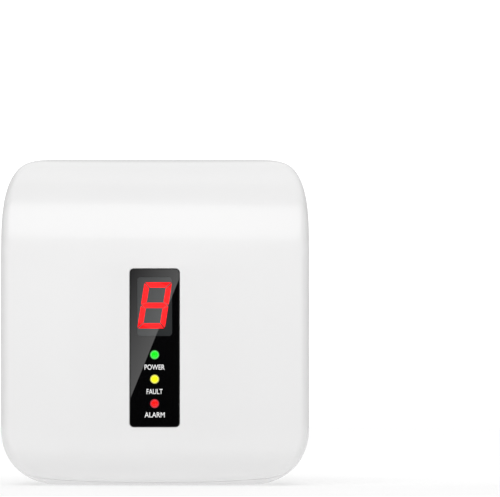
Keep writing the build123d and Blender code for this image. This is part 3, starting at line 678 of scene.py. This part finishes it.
# Indicator lamps. Round moulded lenses lit from behind, each with a bright domed core, a paler collar and
# a wider body behind the panel.
def lit(name, core, collar, edge, height, glow):
    """A lit lens: strong colour over the core, paler on the collar, by distance from its own axis."""
    material = bpy.data.materials.new(name)
    material.use_nodes = True
    tree = material.node_tree
    shader = tree.nodes["Principled BSDF"]
    place_at = node(tree, "ShaderNodeTexCoord")
    centred = node(tree, "ShaderNodeMapping", Vector=(place_at, "Object"), Location=(0, 0, -height * MM),
                   Scale=(1, 0, 1))
    reach = node(tree, "ShaderNodeVectorMath", operation="LENGTH", i0=(centred, "Vector"))
    ring = node(tree, "ShaderNodeMapRange", Value=(reach, "Value"),
                i1=(edge - 0.12) * MM, i2=(edge + 0.04) * MM)
    tone = node(tree, "ShaderNodeMix", data_type="RGBA", i0=(ring, 0), i6=(*core, 1), i7=(*collar, 1))
    tree.links.new(tone.outputs[2], shader.inputs["Base Color"])
    tree.links.new(tone.outputs[2], shader.inputs["Emission Color"])
    shader.inputs["Emission Strength"].default_value = glow
    shader.inputs["Roughness"].default_value = 0.12
    shader.inputs["Specular IOR Level"].default_value = 0.3
    return material


lamp_colours = {"power_led": ("lamp_green", (0.0, 0.88, 0.004), (0.06, 0.36, 0.07)),
                "fault_led": ("lamp_yellow", (0.92, 0.9, 0.0), (0.38, 0.37, 0.08)),
                "alarm_led": ("lamp_red", (0.9, 0.0, 0.0), (0.3, 0.02, 0.03))}
LENS_EDGE, LENS_GLOW = 0.86, 0.75
lens_profile = [(0.2, -0.07), (0.42, -0.05), (0.6, 0.0), (0.74, 0.07), (0.82, 0.15), (0.87, 0.2),
                (0.92, 0.13), (1.02, 0.07), (1.12, 0.09), (1.18, 0.17), (1.2, 0.3),
                (1.2, 3.75), (1.5, 3.8), (1.5, 6.35)]
for name, z in lamp_heights.items():
    lens = closed_mesh(name, along_y([(round_loop(0, z, r, 48), window_front + y) for r, y in lens_profile]))
    slot_name, core, collar = lamp_colours[name]
    place(name + "_lens", lens, lit(name + "_glow", core, collar, LENS_EDGE, z, LENS_GLOW), slot_name, name)

# Digit display. A dark moulded body, with seven red light bars set in its face. Both show through the
# cut in the window.
display_grey = plastic("display_grey", (0.026, 0.029, 0.03), (0.036, 0.039, 0.04), (0.0, 0.01),
                       drift=200, depth=0.0)
DIGIT_MIDDLE_Z, DIGIT_REACH, DIGIT_GLOW = -11.75, 6.2, 0.85
bar_red = lit("bar_red", (0.9, 0.012, 0.014), (0.62, 0.004, 0.006), DIGIT_REACH, DIGIT_MIDDLE_Z, DIGIT_GLOW)

# Pieces that keep their shape. Boards, cell, sounder, transformer and the small parts round them sit behind
# the covers: each takes the finish of its own kind.
board_green = plastic("board_green", (0.015, 0.09, 0.04), (0.03, 0.17, 0.07), (0.25, 0.4),
                      drift=160, ripple=400)
nylon_black = plastic("nylon_black", (0.015, 0.015, 0.016), (0.03, 0.03, 0.032), (0.4, 0.6), drift=150)
tape_yellow = plastic("tape_yellow", (0.6, 0.46, 0.06), (0.72, 0.58, 0.12), (0.4, 0.55), drift=90)
coat_blue = plastic("coat_blue", (0.03, 0.11, 0.32), (0.05, 0.17, 0.44), (0.3, 0.5), drift=150)
sleeve_dark = plastic("can_sleeve", (0.02, 0.025, 0.04), (0.04, 0.045, 0.07), (0.2, 0.35), drift=150)
wire_black = plastic("wire_black", (0.012, 0.012, 0.012), (0.022, 0.022, 0.022), (0.35, 0.5), drift=200)
wire_white = plastic("wire_white", (0.75, 0.75, 0.73), (0.84, 0.84, 0.82), (0.35, 0.5), drift=200)
ferrite = plastic("ferrite", (0.03, 0.03, 0.033), (0.06, 0.06, 0.064), (0.5, 0.75), drift=250, ripple=2500)
zinc = metal("zinc_steel", (0.42, 0.42, 0.43), (0.6, 0.6, 0.61), (0.3, 0.45), fine=0.6)
brass = metal("bright_brass", (0.62, 0.46, 0.2), (0.8, 0.62, 0.3), (0.22, 0.38), fine=0.6)
finishes = {"screw_steel": zinc, "pin_brass": brass, "cell_steel": zinc, "ferrite": ferrite,
            "board": board_green, "dark_moulding": nylon_black, "winding_tape": tape_yellow,
            "capacitor_sleeve": sleeve_dark, "varistor_coat": coat_blue, "wire_black": wire_black,
            "wire_white": wire_white, "display_body": display_grey, "digit_red": bar_red}
for entry in frame["record"]["subparts"]:
    if entry["material_slot"] in finishes:
        for holder in frame["nodes"][entry["node"]].material_slots:
            holder.material = finishes[entry["material_slot"]]

# Studio. The object stands on a pale floor in an even white surround, under one soft lamp before it and
# one behind. A slanting bright patch in the surround makes the diagonal gleam on the window.
FLOOR_R, FLOOR_SIDES = 0.5, 96
around = np.linspace(0, 2 * pi, FLOOR_SIDES + 1)[:-1]
floor_points = np.stack((FLOOR_R * np.cos(around), FLOOR_R * np.sin(around),
                         np.full(FLOOR_SIDES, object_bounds()[0][2])), 1)
floor_mesh = bpy.data.meshes.new("floor")
floor_mesh.from_pydata(floor_points.tolist(), [], [list(range(FLOOR_SIDES))])
floor = bpy.data.objects.new("floor", floor_mesh)
bpy.context.scene.collection.objects.link(floor)
pale = bpy.data.materials.new("pale_floor")
pale.use_nodes = True
pale_shader = pale.node_tree.nodes["Principled BSDF"]
pale_shader.inputs["Base Color"].default_value = (0.6, 0.6, 0.6, 1)
pale_shader.inputs["Emission Color"].default_value = (1, 1, 1, 1)
tree = pale.node_tree
floor_at = node(tree, "ShaderNodeTexCoord")
floor_axes = node(tree, "ShaderNodeSeparateXYZ", Vector=(floor_at, "Object"))
# The floor's glow is weaker in the strip just before and under the object than behind it, a painted shadow;
# further ahead, out of view, it glows brighter and lights the lower front.
ahead_glow = node(tree, "ShaderNodeMapRange", Value=(floor_axes, "Y"), i1=-0.1, i2=-0.2, i3=0.0, i4=0.65)
painted_shadow_glow = node(tree, "ShaderNodeMapRange", Value=(floor_axes, "Y"), i1=-0.04, i2=0.03, i3=0.36, i4=0.43)
glow = node(tree, "ShaderNodeMath", operation="ADD", i0=(ahead_glow, 0), i1=(painted_shadow_glow, 0))
tree.links.new(glow.outputs[0], pale_shader.inputs["Emission Strength"])
pale_shader.inputs["Roughness"].default_value = 0.7
pale_shader.inputs["Specular IOR Level"].default_value = 0.0
floor_mesh.materials.append(pale)

world = bpy.data.worlds.new("studio")
bpy.context.scene.world = world
world.use_nodes = True
tree = world.node_tree
slant = radians(67.8)
across_patch = (-np.sin(slant), 0.0, np.cos(slant))
PATCH_START, PATCH_HALF, PATCH_FADE = 0.00901, 0.025, 0.009
way = node(tree, "ShaderNodeTexCoord")
axes = node(tree, "ShaderNodeSeparateXYZ", Vector=(way, "Generated"))
across = node(tree, "ShaderNodeMath", operation="ABSOLUTE", i0=(axes, "X"))
sides = node(tree, "ShaderNodeMapRange", Value=(across, 0), i1=0.3, i2=0.95, i3=0.52, i4=0.17)
roof = node(tree, "ShaderNodeMapRange", Value=(axes, "Z"), i1=0.75, i2=0.95, i3=1.0, i4=1.35)
ahead = node(tree, "ShaderNodeMapRange", Value=(axes, "Y"), i1=-0.97, i2=-0.995, i3=1.0, i4=0.02)
depth_in = node(tree, "ShaderNodeVectorMath", operation="DOT_PRODUCT", i0=(way, "Generated"), i1=across_patch)
inside = node(tree, "ShaderNodeMath", operation="COMPARE", i0=(depth_in, "Value"),
              i1=PATCH_START + PATCH_HALF, i2=PATCH_HALF)
fade = node(tree, "ShaderNodeMapRange", Value=(depth_in, "Value"),
            i1=PATCH_START, i2=PATCH_START + PATCH_FADE, i3=1.9, i4=0.25)
in_front = node(tree, "ShaderNodeMath", operation="LESS_THAN", i0=(axes, "Y"), i1=-0.97)
patch = node(tree, "ShaderNodeMath", operation="MULTIPLY", i0=(inside, 0), i1=(in_front, 0))
gleam = node(tree, "ShaderNodeMath", operation="MULTIPLY", i0=(patch, 0), i1=(fade, 0))
crown = node(tree, "ShaderNodeMath", operation="MULTIPLY", i0=(sides, 0), i1=(roof, 0))
room = node(tree, "ShaderNodeMath", operation="MULTIPLY", i0=(crown, 0), i1=(ahead, 0))
lit_by = node(tree, "ShaderNodeMath", operation="ADD", i0=(room, 0), i1=(gleam, 0))
path = node(tree, "ShaderNodeLightPath")
seen = node(tree, "ShaderNodeMix", data_type="FLOAT", i0=(path, "Is Camera Ray"), i2=(lit_by, 0), i3=1.05)
tree.nodes["Background"].inputs["Color"].default_value = (1, 1, 1, 1)
tree.links.new(seen.outputs[0], tree.nodes["Background"].inputs["Strength"])


def soft_lamp(name, stand, aim, size, power):
    """A flat lamp, turned towards a point."""
    light = bpy.data.lights.new(name, "AREA")
    light.shape, light.size, light.size_y, light.energy = "RECTANGLE", size[0], size[1], power
    holder = bpy.data.objects.new(name, light)
    turn = Vector(aim) - Vector(stand)
    holder.matrix_world = Matrix.Translation(stand) @ turn.to_track_quat("-Z", "Y").to_matrix().to_4x4()
    bpy.context.scene.collection.objects.link(holder)


soft_lamp("overhead", (-0.1, -0.72, 0.98), (0, 0, 0), (1.7, 0.85), 5.6)
soft_lamp("behind", (0.15, 0.7, 1.0), (0, 0, 0), (1.5, 1.2), 2.0)

eye = bpy.data.cameras.new("camera")
camera = bpy.data.objects.new("camera", eye)
bpy.context.scene.collection.objects.link(camera)
distance, view_width = 1.6, 0.13316
eye.sensor_width = 36.0
eye.lens = eye.sensor_width * distance / view_width
camera.location = (0.0254, FRONT * MM - distance, 0.0034)
camera.rotation_euler = (pi / 2, 0, 0)
bpy.context.scene.camera = camera
bpy.context.scene.view_settings.view_transform = "Standard"
bpy.context.scene.view_settings.exposure = 0.24
